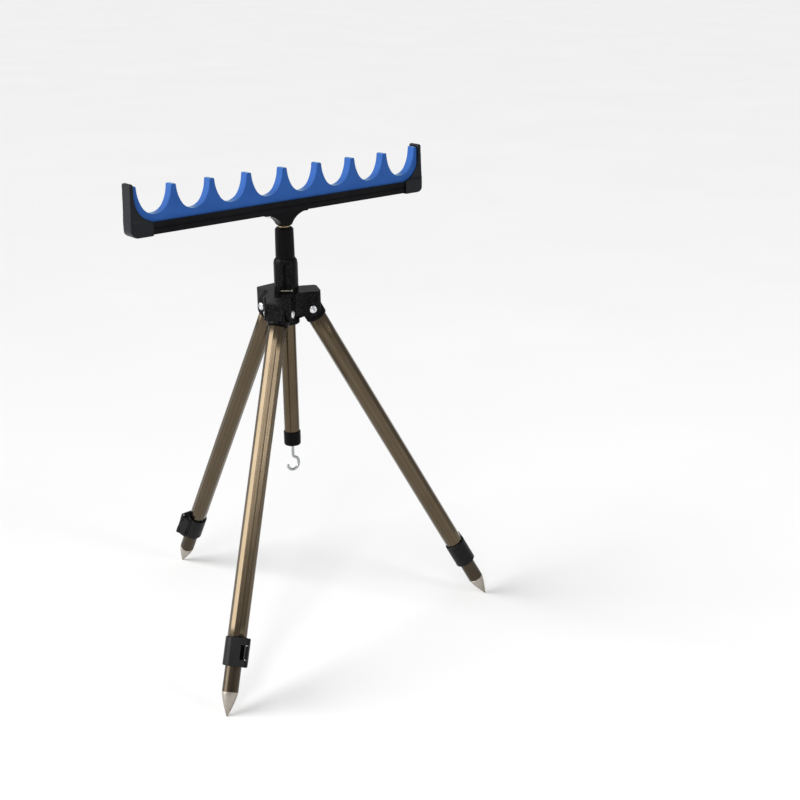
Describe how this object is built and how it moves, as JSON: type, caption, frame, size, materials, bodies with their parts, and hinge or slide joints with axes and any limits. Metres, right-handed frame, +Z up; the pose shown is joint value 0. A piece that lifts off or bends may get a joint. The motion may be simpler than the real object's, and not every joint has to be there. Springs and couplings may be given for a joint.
{
  "type": "folding tripod rod rest",
  "caption": "Folding telescopic tripod with a lifting centre column and a turning foam rod bar with round notches, which holds fishing rods at the waterside.",
  "frame": {"origin": "on the column axis at ground level, in the plane of the three spike tips", "axes": "+Z up the column, +X along the rod bar, +Y away from the angler"},
  "size_m": [0.4246, 0.3912, 0.5725],
  "materials": {
    "hub_plastic": "black moulded, fine grain",
    "cap_plastic": "black moulded, satin",
    "bush_plastic": "dark grey nylon",
    "black_aluminium": "black anodised, satin",
    "grooved_tube": "bronze anodised, grooved lengthwise",
    "plain_tube": "bronze anodised, satin",
    "bare_aluminium": "turned, satin",
    "bright_steel": "bright plated",
    "brass": "satin",
    "blue_foam": "closed-cell foam, matte"
  },
  "bodies": {
    "crown": {"hub_crown": "hub_plastic", "column_bushes": "bush_plastic", "pivot_pins": "bright_steel", "pivot_screws": "bright_steel", "collar_bolt": "bright_steel", "collar_nut": "bright_steel"},
    "column": {"column_tube": "plain_tube", "column_top": "hub_plastic", "thread_insert": "brass", "column_cap": "hub_plastic", "weight_hook": "bright_steel"},
    "head": {"head_stud": "brass", "head_washer": "brass", "bar_saddle": "hub_plastic", "saddle_screws": "bright_steel", "rest_bar": "black_aluminium", "foam_insert": "blue_foam", "end_cap_left": "cap_plastic", "end_cap_right": "cap_plastic"},
    "leg_a": {"leg_a_knuckle": "hub_plastic", "leg_a_upper_tube": "grooved_tube", "leg_a_lock_body": "hub_plastic", "leg_a_lock_pin": "bright_steel"},
    "leg_a_lower": {"leg_a_lower_tube": "plain_tube", "leg_a_bush": "bush_plastic", "leg_a_spike": "bare_aluminium"},
    "leg_a_lever": {"leg_a_lock_lever": "hub_plastic"},
    "leg_b": {"leg_b_knuckle": "hub_plastic", "leg_b_upper_tube": "grooved_tube", "leg_b_lock_body": "hub_plastic", "leg_b_lock_pin": "bright_steel"},
    "leg_b_lower": {"leg_b_lower_tube": "plain_tube", "leg_b_bush": "bush_plastic", "leg_b_spike": "bare_aluminium"},
    "leg_b_lever": {"leg_b_lock_lever": "hub_plastic"},
    "leg_c": {"leg_c_knuckle": "hub_plastic", "leg_c_upper_tube": "grooved_tube", "leg_c_lock_body": "hub_plastic", "leg_c_lock_pin": "bright_steel"},
    "leg_c_lower": {"leg_c_lower_tube": "plain_tube", "leg_c_bush": "bush_plastic", "leg_c_spike": "bare_aluminium"},
    "leg_c_lever": {"leg_c_lock_lever": "hub_plastic"}
  },
  "joints": [
    {"name": "column_slide", "type": "slide", "parent": "crown", "child": "column", "axis": [0, 0, 1], "range_m": [0, 0.13]},
    {"name": "head_swivel", "type": "hinge", "parent": "column", "child": "head", "pos_m": [0, 0, 0.5], "axis": [0, 0, 1], "continuous": true},
    {"name": "leg_a_fold", "type": "hinge", "parent": "crown", "child": "leg_a", "pos_m": [-0.02253, -0.01577, 0.4023], "axis": [0.5736, -0.8192, 0], "range_deg": [0, 28.4]},
    {"name": "leg_a_extend", "type": "slide", "parent": "leg_a", "child": "leg_a_lower", "axis": [-0.3896, -0.2728, -0.8796], "range_m": [0, 0.3]},
    {"name": "leg_a_lever_open", "type": "hinge", "parent": "leg_a", "child": "leg_a_lever", "pos_m": [-0.17056, -0.13932, 0.06737], "axis": [-0.3896, -0.2728, -0.8796], "range_deg": [0, 110]},
    {"name": "leg_b_fold", "type": "hinge", "parent": "crown", "child": "leg_b", "pos_m": [-0.0024, 0.02739, 0.4023], "axis": [-0.9962, -0.0872, 0], "range_deg": [0, 28.4]},
    {"name": "leg_b_extend", "type": "slide", "parent": "leg_b", "child": "leg_b_lower", "axis": [-0.0415, 0.4738, -0.8796], "range_m": [0, 0.3]},
    {"name": "leg_b_lever_open", "type": "hinge", "parent": "leg_b", "child": "leg_b_lever", "pos_m": [-0.03538, 0.21737, 0.06737], "axis": [-0.0415, 0.4738, -0.8796], "range_deg": [0, 110]},
    {"name": "leg_c_fold", "type": "hinge", "parent": "crown", "child": "leg_c", "pos_m": [0.02492, -0.01162, 0.4023], "axis": [0.4226, 0.9063, 0], "range_deg": [0, 28.4]},
    {"name": "leg_c_extend", "type": "slide", "parent": "leg_c", "child": "leg_c_lower", "axis": [0.4311, -0.201, -0.8796], "range_m": [0, 0.3]},
    {"name": "leg_c_lever_open", "type": "hinge", "parent": "leg_c", "child": "leg_c_lever", "pos_m": [0.20594, -0.07804, 0.06737], "axis": [0.4311, -0.201, -0.8796], "range_deg": [0, 110]}
  ]
}
